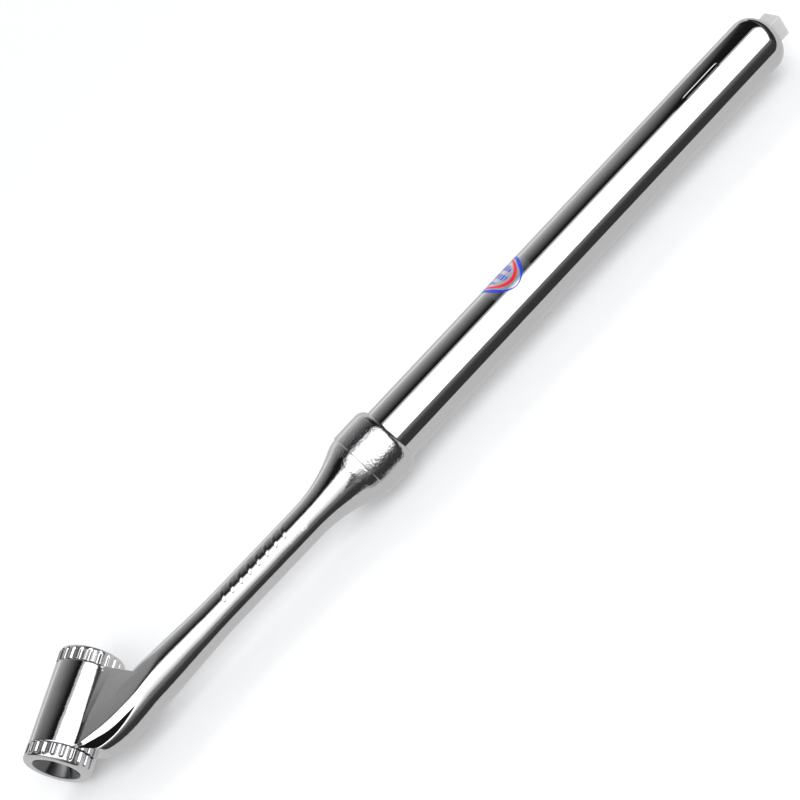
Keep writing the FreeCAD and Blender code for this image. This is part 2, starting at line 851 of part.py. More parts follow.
def turn_with_bar(item):
    """Turn a piece about the tube's axis to the bar's angle."""
    place(item, axis=V(1, 0, 0), turn=size("bar_turn"))


def make_indicator_bar():
    """The square plastic bar, with a blind hole for the stop's pin."""
    body = new_body("indicator_bar")
    sketch = plane_sketch(body, "bar_section", "YZ_Plane", (bar_start, ZERO, ZERO))
    square_outline(sketch, size("bar_side"))
    extruded(body, "bar_length", sketch, bar_tip - bar_start)
    hole_end = bar_start + size("stop_pin_length") + size("stop_hole_spare")
    turned_rectangle(body, "stop_pin_hole", bar_start, hole_end, 0,
                     size("stop_pin_radius") + size("stop_pin_clearance"), cut=True)
    tip = bar_tip.number
    round_edges(body, "bar_tip_edges",
                lambda e: all(abs(v.X - tip) < 1e-4 for v in e.Vertexes),
                size("bar_edge_chamfer"), "PartDesign::Chamfer")
    turn_with_bar(body)
    return body


def make_bar_stop():
    """The turned stop on the bar's inner end: too wide for the bushing's square hole."""
    body = new_body("bar_stop")
    turned(body, "stop_turning", [
        (stop_start, 0),
        (bar_start + size("stop_pin_length"), 0),
        (bar_start + size("stop_pin_length"), size("stop_pin_radius")),
        (bar_start, size("stop_pin_radius")),
        (bar_start, size("stop_radius")),
        (stop_start, size("stop_radius")),
    ])
    return body


def make_end_bushing():
    """The bushing with a square hole that guides the bar, held in by the spun tube end."""
    body = new_body("end_bushing")
    outer = tube_bore - size("bushing_press_gap")
    finish = bushing_start + size("bushing_length")
    turned(body, "bushing_turning", [
        (bushing_start, 0),
        (finish, 0),
        (finish, size("bushing_nose_radius")),
        (finish - size("bushing_nose_length"), outer),
        (bushing_start, outer),
    ])
    sketch = plane_sketch(body, "bushing_square", "YZ_Plane", (bushing_start, ZERO, ZERO))
    square_outline(sketch, bushing_hole)
    extruded(body, "bushing_hole", sketch, size("bushing_length"), cut=True, reverse=True)
    pocket_start, pocket_top = leaf_pocket()
    slot = plane_sketch(body, "leaf_pocket_outline", "XY_Plane")
    inside = bushing_hole / 2 - size("leaf_pocket_overlap")
    pocket_end = pocket_start + size("leaf_length") + size("leaf_end_play")
    outline(slot, [
        (pocket_start, inside), (pocket_end, inside),
        (pocket_end, pocket_top), (pocket_start, pocket_top),
    ])
    pocket_width = size("leaf_width") + size("leaf_side_play")
    extruded(body, "leaf_pocket", slot, pocket_width, cut=True, midplane=True)
    turn_with_bar(body)
    return body


def leaf_pocket():
    """Where the leaf's pocket starts, and how far it reaches from the axis."""
    start = bushing_start + size("leaf_inset")
    top = size("bar_side") / 2 + size("leaf_clearance") + size("leaf_arch") + size("leaf_thickness")
    return start, top + size("leaf_clearance")


def make_friction_leaf():
    """The arched leaf spring in the bushing that keeps the bar where the reading put it."""
    body = new_body("friction_leaf")
    start = leaf_pocket()[0] + size("leaf_end_play") / 2
    finish = start + size("leaf_length")
    middle = (start + finish) / 2
    low = size("bar_side") / 2 + size("leaf_clearance")
    high = low + size("leaf_arch")
    thick = size("leaf_thickness")
    half = size("leaf_length") / 2
    inner = tangent_arc_radius(half, size("leaf_arch"))
    sketch = plane_sketch(body, "leaf_outline", "XY_Plane")
    outline(sketch, [
        (start, high), (middle, low), (finish, high),
        (finish, high + thick), (middle, low + thick), (start, high + thick),
    ], arcs={0: (inner, +1), 1: (inner, +1), 3: (inner, -1), 4: (inner, -1)})
    extruded(body, "leaf_strip", sketch, size("leaf_width"), midplane=True)
    turn_with_bar(body)
    return body


def make_label():
    """A thin plain label wrapped part of the way round the tube."""
    body = new_body("tube_label")
    inner = size("tube_radius") + size("label_glue")
    wrap = turned_rectangle(body, "label_film", size("label_start"),
                            size("label_start") + size("label_length"),
                            inner, inner + size("label_thickness"))
    wrap.Angle = size("label_wrap").number
    bind(wrap, "Angle", size("label_wrap"))
    wrap.Midplane = True
    place(body, axis=V(1, 0, 0), turn=size("label_turn"))
    return body


parts = [make_head_casting()]
parts += [make_cap_ring(foot) for foot in FEET]
parts += [make_slip_washer(foot) for foot in FEET]
parts += [make_seal_washer(foot) for foot in FEET]
parts += [
    make_shuttle_pin(),
    make_barrel_tube(),
    make_tube_gasket(),
    make_piston_cup(),
    make_cup_washer(),
    make_cup_screw(),
    make_piston(),
    make_spring(),
    make_seat_washer(),
    make_indicator_bar(),
    make_bar_stop(),
    make_end_bushing(),
    make_friction_leaf(),
    make_label(),
]
doc.recompute()

for item in doc.Objects:
    if "Invalid" in item.State or "Error" in item.State:
        raise RuntimeError(f"{item.Name} failed: {item.State}")
for part in parts:
    if part.Shape.isNull() or not part.Shape.isValid() or not part.Shape.Solids:
        raise RuntimeError(f"{part.Label} has no valid solid")

os.makedirs("parts", exist_ok=True)
for part in parts:
    part.Shape.exportStep(f"parts/{part.Label}.step")
    box = part.Shape.BoundBox
    print(f"{part.Label:20s} {len(part.Shape.Solids)} solid  {part.Shape.Volume:10.2f} mm3  "
          f"x {box.XMin:8.2f} {box.XMax:8.2f}  y {box.YMin:7.2f} {box.YMax:7.2f}  "
          f"z {box.ZMin:7.2f} {box.ZMax:7.2f}")
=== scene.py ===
# %% [markdown]
# # A dual-foot stick tyre pressure gauge
#
# The gauge is a chrome tube with a cast neck and head.  A foot on either side of the head is pushed
# onto a tyre valve, and the air drives a square graduated bar out of the tube's far end.
# The solids that come from the CAD model are the fixed frame: they say where everything goes.
# Chrome shows every facet of a surface, so the visible metal is worked out again here as fine,
# smooth grids in exactly the same places, and each finish is built from shader nodes.

# %% Load the fixed frame
import json
import math

import bmesh
import bpy
import numpy as np
from mathutils import Matrix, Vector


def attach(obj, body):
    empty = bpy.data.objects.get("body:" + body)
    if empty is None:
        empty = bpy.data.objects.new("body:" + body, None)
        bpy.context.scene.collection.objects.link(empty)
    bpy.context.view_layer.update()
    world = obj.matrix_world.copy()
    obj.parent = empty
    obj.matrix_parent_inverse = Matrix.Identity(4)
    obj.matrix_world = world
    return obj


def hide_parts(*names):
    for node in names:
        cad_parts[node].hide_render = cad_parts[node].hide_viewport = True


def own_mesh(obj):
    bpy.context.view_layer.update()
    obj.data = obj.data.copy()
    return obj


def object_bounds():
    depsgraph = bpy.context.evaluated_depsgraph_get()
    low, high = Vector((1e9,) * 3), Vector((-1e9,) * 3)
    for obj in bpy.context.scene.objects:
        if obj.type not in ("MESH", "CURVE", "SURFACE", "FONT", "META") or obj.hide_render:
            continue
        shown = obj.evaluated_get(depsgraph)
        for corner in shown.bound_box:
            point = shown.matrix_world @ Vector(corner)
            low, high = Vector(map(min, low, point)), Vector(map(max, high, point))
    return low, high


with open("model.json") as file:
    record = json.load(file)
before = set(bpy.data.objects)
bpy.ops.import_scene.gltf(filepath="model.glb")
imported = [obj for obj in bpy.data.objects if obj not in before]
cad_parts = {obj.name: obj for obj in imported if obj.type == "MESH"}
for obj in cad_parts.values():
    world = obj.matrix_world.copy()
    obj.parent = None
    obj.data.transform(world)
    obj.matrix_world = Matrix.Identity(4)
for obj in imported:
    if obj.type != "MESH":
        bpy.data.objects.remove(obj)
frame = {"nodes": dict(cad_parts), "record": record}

cad_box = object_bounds()
MM = 0.001
print("CAD box in mm:", np.round(np.array(cad_box) / MM, 1).tolist())

# %% [markdown]
# ## How a surface becomes a mesh
#
# Every new piece is a grid of points, worked out as whole arrays.  One axis of the grid runs along
# the piece and the other runs round it.  `skin` joins neighbouring points with quads, closes the
# grid round on itself where asked, and merges rows that shrink to a point into a pole.

# %% Grid to mesh
def quads_between(rows, columns, loop_rows, loop_columns):
    """Corner numbers of the quads that join each grid point to its neighbours."""
    number = np.arange(rows * columns).reshape(rows, columns)
    if loop_rows:
        number = np.vstack([number, number[:1]])
    if loop_columns:
        number = np.hstack([number, number[:, :1]])
    corners = [number[:-1, :-1], number[:-1, 1:], number[1:, 1:], number[1:, :-1]]
    return np.stack(corners, axis=-1).reshape(-1, 4)


def skin(name, points, body, loop_rows=False, loop_columns=True, sharp=40):
    """A smooth mesh from points[..., row, column] in mm; leading axes are separate shells."""
    rows, columns = points.shape[-3:-1]
    shells = points.reshape(-1, rows * columns, 3)
    quads = quads_between(rows, columns, loop_rows, loop_columns)
    offsets = np.arange(len(shells))[:, None, None] * rows * columns
    quads = (quads[None] + offsets).reshape(-1, 4)
    mesh = bpy.data.meshes.new(name)
    mesh.vertices.add(shells.shape[0] * shells.shape[1])
    mesh.vertices.foreach_set("co", (shells * MM).astype(np.float32).ravel())
    mesh.loops.add(quads.size)
    mesh.loops.foreach_set("vertex_index", quads.astype(np.int32).ravel())
    mesh.polygons.add(len(quads))
    mesh.polygons.foreach_set("loop_start", np.arange(len(quads), dtype=np.int32) * 4)
    mesh.update(calc_edges=True)
    close_up(mesh, merge=0.002 * MM, outward=loop_rows or loop_columns)
    mesh.set_sharp_from_angle(angle=math.radians(sharp))
    piece = bpy.data.objects.new(name, mesh)
    bpy.context.scene.collection.objects.link(piece)
    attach(piece, body)
    print(f"{name}: {len(mesh.polygons)} faces")
    return piece


def close_up(mesh, merge, outward):
    """Merge points that coincide, such as a pole's row, and turn a closed shell's faces out."""
    cells = bmesh.new()
    cells.from_mesh(mesh)
    bmesh.ops.remove_doubles(cells, verts=cells.verts, dist=merge)
    bmesh.ops.dissolve_degenerate(cells, edges=cells.edges, dist=merge / 4)
    if outward:
        bmesh.ops.recalc_face_normals(cells, faces=cells.faces)
    for face in cells.faces:
        face.smooth = True
    cells.to_mesh(mesh)
    cells.free()


# %% [markdown]
# ## Outlines with rounded corners
#
# A turned piece is known by its outline.  `softened` takes the outline's corners and a rounding
# for each, and swaps every corner for a short curve, because real edges always catch the light.

# %% Outlines
def softened(corners, rounding, steps=7, closed=True):
    """Each corner P becomes P + d((1-t)^2 A + t^2 B), where A and B point to its neighbours."""
    corners = np.asarray(corners, float)
    before, after = np.roll(corners, 1, axis=0) - corners, np.roll(corners, -1, axis=0) - corners
    reach = np.broadcast_to(np.asarray(rounding, float), len(corners))[:, None]
    before = before / np.linalg.norm(before, axis=1, keepdims=True) * reach
    after = after / np.linalg.norm(after, axis=1, keepdims=True) * reach
    if not closed:
        before[0] = after[0] = before[-1] = after[-1] = 0
    t = np.linspace(0, 1, steps)[None, :, None]
    curve = corners[:, None] + (1 - t) ** 2 * before[:, None] + t ** 2 * after[:, None]
    outline = curve.reshape(-1, 2)
    moved = np.linalg.norm(np.diff(outline, axis=0), axis=1) > 1e-6
    return outline[np.concatenate([[True], moved])]


def arc_between(start, finish, count=24):
    """A circular arc that leaves `start` along the axis: R = (run^2 + drop^2) / (2 drop)."""
    step = np.subtract(finish, start)
    run, drop = np.abs(step)
    radius = (run ** 2 + drop ** 2) / (2 * drop)
    angle = np.linspace(0, math.asin(run / radius), count)
    return start + np.sign(step) * radius * np.stack([np.sin(angle), 1 - np.cos(angle)], axis=-1)


def lathe(outline, columns):
    """Turn (along, radius) about X: (x, r cos a, r sin a).  `columns` is a count or the angles."""
    angle = np.linspace(0, 2 * np.pi, columns, endpoint=False) if np.isscalar(columns) else columns
    along, radius = outline[:, :1], outline[:, 1:]
    return np.stack([along + 0 * angle, radius * np.cos(angle), radius * np.sin(angle)], axis=-1)


# %% [markdown]
# ## The foot barrel's own directions
#
# The head is built round a short barrel that lies across the neck at an angle.  Its mount in the
# record says which way each foot points, so the barrel's centre is half-way between the two feet.

# %% Barrel frame
mounts = {mount["name"]: mount for mount in frame["record"]["mounts"]}
lower, upper = (np.array(mounts[f"{foot}_foot"]["pos_m"]) / MM for foot in ("lower", "upper"))
barrel_centre = (lower + upper) / 2
along_barrel = np.array(mounts["lower_foot"]["axis"])
up = np.array([0.0, 0.0, 1.0])
out_of_barrel = np.cross(up, along_barrel)
print("barrel centre in mm:", barrel_centre.round(2).tolist())


def in_barrel(local, flip=1):
    """Move points (w, q, z) to the barrel: w along its axis, q towards the neck, z up."""
    return (barrel_centre + flip * local[..., :1] * along_barrel
            + flip * local[..., 1:2] * out_of_barrel + local[..., 2:] * up)


def from_barrel(points):
    """The barrel coordinates (w, q, z) of points in the frame."""
    offset = points - barrel_centre
    return np.stack([offset @ along_barrel, offset @ out_of_barrel, offset @ up], axis=-1)


# %% [markdown]
# ## Cap rings
#
# Each foot is closed by a turned ring nut.  Flutes are milled into its rim for the fingers: each
# starts open at the barrel's side and runs out in a round end.  Modelling one flute and copying it
# with an array modifier would leave seams, so the flutes are a formula: the outline's radius drops
# by a shallow round hollow wherever a point lies near a flute's centre line.

# %% Cap rings
RING_START, RING_END, RING_RADIUS = 11.28, 15.36, 8.8
FLUTES, FLUTE_RADIUS, FLUTE_DEPTH, FLUTE_END = 25, 0.78, 0.46, 13.75


def flute_hollow(w, angle, radius):
    """sqrt(R^2 - d^2) - (R - depth), where d is the distance to the nearest flute's centre line."""
    turn = (angle * FLUTES / (2 * np.pi) + 0.5) % 1 - 0.5
    across = turn * 2 * np.pi / FLUTES * radius
    past_end = np.maximum(w - FLUTE_END, 0)
    distance = across ** 2 + past_end ** 2
    hollow = np.sqrt(np.maximum(FLUTE_RADIUS ** 2 - distance, 0)) - (FLUTE_RADIUS - FLUTE_DEPTH)
    return np.maximum(hollow, 0)


ring_outline = softened([
    (7.3, 4.6), (9.26, 4.6), (9.26, 4.1), (12.26, 4.1), (RING_END, 6.3), (RING_END, RING_RADIUS),
    (RING_START, RING_RADIUS), (RING_START, 7.15), (7.3, 7.15),
], [0.1, 0.1, 0.1, 0.35, 0.5, 1.3, 0.12, 0.1, 0.1], steps=9)
outer_run = np.linspace(RING_END - 1.35, RING_START + 0.15, 26)[:, None]
split = int(np.argmax((ring_outline[:, 0] < RING_START + 0.13) & (ring_outline[:, 1] > 8.7)))
ring_outline = np.concatenate([
    ring_outline[:split], np.hstack([outer_run, np.full_like(outer_run, RING_RADIUS)]),
    ring_outline[split:],
])


def cap_ring(foot, flip):
    """A fluted ring: the lathe surface with its outer radius lowered by the flutes."""
    points = lathe(ring_outline, FLUTES * 20)
    angle = np.arctan2(points[..., 2], points[..., 1])
    radius = np.hypot(points[..., 1], points[..., 2])
    lowered = radius - np.where(radius > 7.6, flute_hollow(points[..., 0], angle, radius), 0)
    scale = lowered / radius
    points = np.stack([points[..., 0], points[..., 1] * scale, points[..., 2] * scale], axis=-1)
    ring = skin(f"{foot}_ring", in_barrel(points, flip), "gauge_body", loop_rows=True, sharp=60)
    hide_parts(f"{foot}_cap_ring")
    return ring


rings = [cap_ring("lower", 1), cap_ring("upper", -1)]

# %% [markdown]
# ## Foot barrel
#
# The barrel is a plain cylinder with a stepped bore.  Its outline is a closed loop that never
# touches the axis, so turning it gives a tube with real walls and open ends for the rings.

# %% Foot barrel
BARREL_HALF, BARREL_RADIUS = 11.1, 8.7
barrel_outline = softened([
    (-BARREL_HALF, BARREL_RADIUS), (BARREL_HALF, BARREL_RADIUS), (BARREL_HALF, 7.2), (4.4, 7.2),
    (4.4, 4.6), (-4.4, 4.6), (-4.4, 7.2), (-BARREL_HALF, 7.2),
], [0.35, 0.35, 0.1, 0.1, 0.1, 0.1, 0.1, 0.1])
barrel = skin("foot_barrel", in_barrel(lathe(barrel_outline, 240)), "gauge_body", loop_rows=True)

# %% [markdown]
# ## Collar, neck and elbow
#
# This is one casting that changes size all the way along: a band that holds the tube, a flare, a
# slim neck, and an elbow that swells and then bends into the barrel.  A profile of radii carried
# along a centre line makes it in one smooth skin.  The line's direction is a formula and the line
# itself is found by adding the steps up, which keeps the bend free of kinks.

# %% Centre line and radii
COLLAR_HALF, NECK_LEAN = 5.3, math.radians(0.75)
NECK_END, BEND_END = 79.3, 110.0
SAG, SAG_START, SAG_RUN = math.radians(5.5), 78, 16
BEND, BEND_START, BEND_FULL = math.radians(54), 89.5, 112.5
NECK_RADIUS, SWELL_START, SWELL_SLOPE, SWELL_BLEND = 5.03, 58.7, 0.0545, 2.0


def smooth_rise(value, start, finish):
    """0 before start, 1 after finish, and 3t^2 - 2t^3 between."""
    t = np.clip((value - start) / (finish - start), 0, 1)
    return t * t * (3 - 2 * t)


def centre_line(station):
    """Position and direction at each station, found by adding up small steps of the heading."""
    fine = np.linspace(-COLLAR_HALF, BEND_END, 4000)
    lean = np.where(fine > COLLAR_HALF, NECK_LEAN, 0)
    sag = SAG * np.sin(np.pi * np.clip((fine - SAG_START) / SAG_RUN, 0, 1)) ** 2
    bend = BEND * smooth_rise(fine, BEND_START, BEND_FULL)
    heading = np.pi - lean + sag - bend
    step = np.gradient(fine)
    x = COLLAR_HALF + np.cumsum(np.cos(heading) * step)
    y = np.cumsum(np.sin(heading) * step)
    return [np.interp(station, fine, values) for values in (x, y, heading)]


collar_profile = np.concatenate([
    [(3.7, 0.01), (3.7, 4.0), (3.7, 8.03), (0.0, 8.03), (-5.2, 8.03), (-5.3, 8.08)],
    arc_between((-2.7, 9.87), (-5.3, 8.27))[::-1],
    [(0.0, 9.87), (5.15, 9.87), (5.24, 9.85), (5.28, 9.8), (5.3, 9.52), (5.36, 9.46)],
    arc_between((5.45, 9.45), (8.5, 8.78))[1:],
    arc_between((25.3, NECK_RADIUS), (8.5, 8.78), 60)[::-1][1:],
])
neck_station = np.linspace(26.5, 109.0, 200)
swell = SWELL_SLOPE * SWELL_BLEND * np.logaddexp(0, (neck_station - SWELL_START) / SWELL_BLEND)
neck_radius = NECK_RADIUS + swell
elbow_stations = np.array([79.3, 84.0, 90.0, 96.0, 101.0, 105.0, 109.0])
elbow_radii = np.array([6.15, 6.22, 6.3, 6.2, 5.85, 5.3, 4.6])
curve = np.polynomial.Polynomial.fit(elbow_stations, elbow_radii, 4)
neck_radius = np.where(neck_station < NECK_END, neck_radius, curve(neck_station))
neck_profile = np.stack([neck_station, neck_radius], axis=-1)
end_cap = np.array([(109.6, 3.2), (110.0, 1.6), (110.0, 0.01)])
casting_profile = np.concatenate([collar_profile, neck_profile, end_cap])

# %% [markdown]
# The casting is flat above and below where the neck meets the web, so the neck's circles are cut
# off by two planes that lean together towards the barrel.  The cut leaves a ridge along the elbow.
# Outside the ridge the elbow falls away in a narrow facet and then a shallow ledge.

# %% Flats and facets of the elbow
RIDGE_STATIONS = np.array([82.0, 86.0, 90.0, 94.0, 98.0, 100.0, 102.0, 104.0, 110.0])
RIDGE_OFFSETS = np.array([3.2, 2.85, 2.25, 1.74, 1.46, 1.6, 1.96, 2.0, 1.6])
FACET_SLOPE, LEDGE_SLOPE, FACET_RUN = 0.85, 0.33, 1.65
FLATS_START, FACETS_GROW, FACETS_SHRINK = 70, (76, 84), (93, 105)


def flat_height(q):
    """Half the casting's thickness at q from the barrel's axis: 3.9 at 5 mm, rising by 0.088."""
    return 3.9 + 0.088 * (q - 5)


def soft_least(first, second, blend):
    """(a + b - sqrt((a - b)^2 + k^2)) / 2: the lesser of two values with a rounded corner."""
    return (first + second - np.hypot(first - second, blend)) / 2


def ramp(value, blend):
    """(x + sqrt(x^2 + k^2)) / 2: nothing before 0 and x after it, with a rounded corner."""
    return (value + np.hypot(value, blend)) / 2


def fall_outside(past):
    """How far the surface lies below the flat: steep past the ridge, shallow past the facet."""
    easing = FACET_SLOPE - LEDGE_SLOPE
    return FACET_SLOPE * ramp(past, 0.1) - easing * ramp(past - FACET_RUN, 0.08)


def elbow_height(station, side, height, q):
    """The circle's height, cut by the flat and by facets that grow in and shrink to 0.4 again."""
    ridge = np.interp(station, RIDGE_STATIONS, RIDGE_OFFSETS)
    size = 1 - 0.6 * smooth_rise(station, *FACETS_SHRINK)
    depth = size * smooth_rise(station, *FACETS_GROW)
    ceiling = flat_height(q) - depth * fall_outside((-side - ridge) / size)
    cut = np.maximum(soft_least(np.abs(height), ceiling, 0.2), 0)
    return np.where(station > FLATS_START, np.sign(height) * cut, height)


# %% [markdown]
# Where the elbow would run into the barrel's bore it is pressed back into the barrel's wall, and
# where it would run under the lower ring it is cut flat, as the cast head is machined there.

# %% Neck surface
IN_THE_WALL = 7.9


def keep_clear_of_foot(points):
    """Press points in the bore out into the wall, and cut flat what passes the barrel's end."""
    local = from_barrel(points)
    local[..., 0] = np.minimum(local[..., 0], BARREL_HALF - 0.02)
    radius = np.hypot(local[..., 1], local[..., 2])
    push = np.maximum(IN_THE_WALL / np.maximum(radius, 1e-6), 1)
    local[..., 1:] *= push[..., None]
    return in_barrel(local)


def swept(profile, columns):
    """Circles of the profile's radius, each square to the centre line, flattened at the elbow."""
    angle = np.linspace(0, 2 * np.pi, columns, endpoint=False)
    station, radius = profile[:, :1], profile[:, 1:]
    x, y, heading = centre_line(station)
    side, height = radius * np.cos(angle), radius * np.sin(angle)
    points = np.stack([x + side * np.sin(heading), y - side * np.cos(heading), height], axis=-1)
    points[..., 2] = elbow_height(station, side, height, from_barrel(points)[..., 1])
    return points


neck_points = swept(casting_profile, 288)
near_head = casting_profile[:, 0] > FLATS_START
neck_points[near_head] = keep_clear_of_foot(neck_points[near_head])
neck = skin("collar_and_neck", neck_points, "gauge_body", sharp=30)

# %% [markdown]
# ## Web
#
# A flat web fills the corner between the barrel and the neck.  It is drawn as slices that run from
# the barrel's side to the neck's centre line.  Each slice is a rounded rectangle, and it stays a
# hair below the neck's own flat, so that the two surfaces never fight for the same place.

# %% Web surface
def rounded_rectangle(half_length, half_height, corner, steps=8):
    """Circles of the given radius, moved out to the corners of a rectangle about the origin."""
    quarter = np.linspace(0, np.pi / 2, steps)
    angle = (np.arange(4)[:, None] * np.pi / 2 + quarter).ravel()
    along = np.sign(np.cos(angle.reshape(4, -1).mean(axis=1))).repeat(steps)
    above = np.sign(np.sin(angle.reshape(4, -1).mean(axis=1))).repeat(steps)
    return (along * (half_length - corner) + corner * np.cos(angle),
            above * (half_height - corner) + corner * np.sin(angle))


WEB_TOP, WEB_FOOT, WEB_SIDE, WEB_CORNER, BELOW_NECK = -11.06, 10.0, 7.6, 0.2, 0.02
share = np.linspace(0, 1, 60)[:, None]
x, y, _ = centre_line(np.array([80.0, 103.0]))
neck_side = from_barrel(np.stack([x, y, 0 * x], axis=-1))[:, :2]
top_edge = (1 - share) * (WEB_TOP, WEB_SIDE) + share * neck_side[0]
foot_edge = (1 - share) * (WEB_FOOT, WEB_SIDE) + share * neck_side[1]
half_run = np.linalg.norm(foot_edge - top_edge, axis=1, keepdims=True) / 2
run, z = rounded_rectangle(half_run, flat_height(WEB_SIDE) + 0 * half_run, WEB_CORNER)
spot = (run / half_run + 1)[..., None] / 2
plan = top_edge[:, None] + spot * (foot_edge - top_edge)[:, None]
z = z * (flat_height(plan[..., 1]) - BELOW_NECK) / flat_height(WEB_SIDE)
web_points = in_barrel(np.concatenate([plan, z[..., None]], axis=-1))
middles = web_points.mean(axis=1, keepdims=True).repeat(web_points.shape[1], axis=1)
web_points = np.concatenate([middles[:1], web_points, middles[-1:]])
web = skin("web", web_points, "gauge_body")

# %% [markdown]
# ## Raised marks
#
# A short row of slanted bars stands up from the neck, as cast marks do.  Each is a superellipsoid,
# a ball with squared-off sides, bent to the neck's roundness.  All of them are worked out at once.

# %% Marks on the neck
MARKS, MARK_PITCH, FIRST_MARK, MARK_TURN = 8, 3.1, -31.2, math.radians(104)
MARK_HALF_WIDTH, MARK_SLANT, MARK_HALF_LENGTH, MARK_RISE = 0.62, 0.5, 1.75, 0.42


def squared_ball(rows, columns, power):
    """Unit superellipsoid: cos and sin of both angles, raised to a power with their signs kept."""
    def shape(value):
        return np.sign(value) * np.abs(value) ** power

    latitude = np.linspace(-np.pi / 2, np.pi / 2, rows)[:, None]
    longitude = np.linspace(0, 2 * np.pi, columns, endpoint=False)
    return (shape(np.cos(latitude)) * shape(np.cos(longitude)),
            shape(np.cos(latitude)) * shape(np.sin(longitude)),
            shape(np.sin(latitude)) + 0 * longitude)


across, around, high = squared_ball(17, 32, 0.6)
mark_x = FIRST_MARK - MARK_PITCH * np.arange(MARKS)[:, None, None]
x = mark_x + MARK_HALF_WIDTH * across + MARK_SLANT * around
neck_y = (-COLLAR_HALF - x) * math.tan(NECK_LEAN)
turn = MARK_TURN - MARK_HALF_LENGTH * around / NECK_RADIUS
radius = NECK_RADIUS - 0.03 + MARK_RISE * high
marks = skin("neck_marks", np.stack(np.broadcast_arrays(
    x, neck_y + radius * np.cos(turn), radius * np.sin(turn)), axis=-1), "gauge_body")
cast_pieces = (neck, web, barrel, marks)
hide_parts("head_casting")

# %% [markdown]
# ## Barrel tube
#
# The tube is drawn brass with its end spun in round the bar.  Its outline runs out along the
# outside, over the spun end and back along the bore.  A short key groove is pressed in from
# outside, which holds the bushing, and here it lowers the outer radius over a small patch.  Rows
# and columns lie close together round the groove, so that its edge stays crisp.

# %% Tube surface
TUBE_START, TUBE_END, TUBE_RADIUS, TUBE_BORE, MOUTH = -2.7, 150.2, 8.0, 7.3, 4.42
DOME = TUBE_END - 5.0
GROOVE_START, GROOVE_END, GROOVE_TURN = 119.2, 132.2, math.radians(108)
GROOVE_HALF_WIDTH, GROOVE_DEPTH, GROOVE_EDGE = 0.7, 0.05, 0.12


def groove_depth(x, angle):
    """Full depth inside a rounded slot, easing to nothing over its edge."""
    across = ((angle - GROOVE_TURN + np.pi) % (2 * np.pi) - np.pi) * TUBE_RADIUS
    first, last = GROOVE_START + GROOVE_HALF_WIDTH, GROOVE_END - GROOVE_HALF_WIDTH
    past = np.maximum(np.maximum(first - x, x - last), 0)
    flat_to = GROOVE_HALF_WIDTH - GROOVE_EDGE
    return GROOVE_DEPTH * (1 - smooth_rise(np.hypot(across, past), flat_to, GROOVE_HALF_WIDTH))


outside = np.concatenate([
    np.linspace(TUBE_START + 0.1, GROOVE_START - 0.2, 30),
    np.linspace(GROOVE_START + 0.3, GROOVE_END + 1.3, 90),
    np.linspace(GROOVE_END + 1.8, DOME - 0.3, 8),
])
tube_outline = np.concatenate([
    [(TUBE_START, TUBE_RADIUS - 0.1)],
    np.stack([outside, np.full_like(outside, TUBE_RADIUS)], axis=-1),
    arc_between((DOME, TUBE_RADIUS), (TUBE_END, MOUTH), 40)[:-1],
    [(TUBE_END - 0.06, MOUTH + 0.12), (TUBE_END, MOUTH + 0.05), (TUBE_END - 0.04, MOUTH),
     (TUBE_END - 0.9, MOUTH)],
    arc_between((DOME, TUBE_BORE), (TUBE_END - 0.9, MOUTH), 20)[::-1][1:],
    [(TUBE_START, TUBE_BORE)],
])
fine_turn = GROOVE_TURN + np.linspace(-0.2, 0.2, 61)
rest_turn = GROOVE_TURN + np.linspace(0.2, 2 * np.pi - 0.2, 181)[1:-1]
tube_points = lathe(tube_outline, np.concatenate([fine_turn, rest_turn]))
radius = np.hypot(tube_points[..., 1], tube_points[..., 2])
angle = np.arctan2(tube_points[..., 2], tube_points[..., 1])
pressed = np.where(radius > TUBE_RADIUS - 0.1, groove_depth(tube_points[..., 0], angle), 0)
tube_points[..., 1:] *= (1 - pressed / radius)[..., None]
tube = skin("tube", tube_points, "gauge_body", loop_rows=True)
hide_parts("barrel_tube")

# %% [markdown]
# ## Indicator bar
#
# The bar is square with slightly rounded corners.  Its section is carried along X, and the rows
# at its ends shrink along a quarter circle, so that the ends have rounded edges too.

# %% Bar surface
BAR_START, BAR_TIP, HALF_SIDE, BAR_TURN = 10.1, 154.0, 3.035, math.radians(-8.6)
BAR_CORNER, END_ROUND = 0.28, 0.22

edge = np.linspace(0, np.pi / 2, 6)
back, inset = END_ROUND * (1 - np.sin(edge)), END_ROUND * (1 - np.cos(edge))
bar_rows = np.concatenate([
    [(BAR_START, HALF_SIDE - 0.01)],
    np.stack([BAR_START + back, inset], axis=-1)[::-1],
    np.stack([BAR_TIP - back, inset], axis=-1),
    [(BAR_TIP, HALF_SIDE - 0.01)],
])
square_y, square_z = rounded_rectangle(HALF_SIDE, HALF_SIDE, BAR_CORNER, steps=6)
bar_y = square_y * math.cos(BAR_TURN) - square_z * math.sin(BAR_TURN)
bar_z = square_y * math.sin(BAR_TURN) + square_z * math.cos(BAR_TURN)
shrink = 1 - bar_rows[:, 1:] / HALF_SIDE
bar_points = np.stack([bar_rows[:, :1] + 0 * bar_y, bar_y * shrink, bar_z * shrink], axis=-1)
bar = skin("graduated_bar", bar_points, "indicator", sharp=50)
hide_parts("indicator_bar")

# %% [markdown]
# ## Numbers on the bar
#
# The scale's numbers are printed on two faces.  Text is the natural tool: each number is a text
# curve made into a mesh, laid on its face a hair above the nylon, and then joined with the rest.

# %% Scale numbers
SCALE_ZERO, SCALE_FULL, FULL_READING, STEP = TUBE_END, TUBE_END - 75.0, 150, 10
TEXT_SIZE, TEXT_LIFT, TEXT_SHIFT = 2.4, 0.012, 0.9


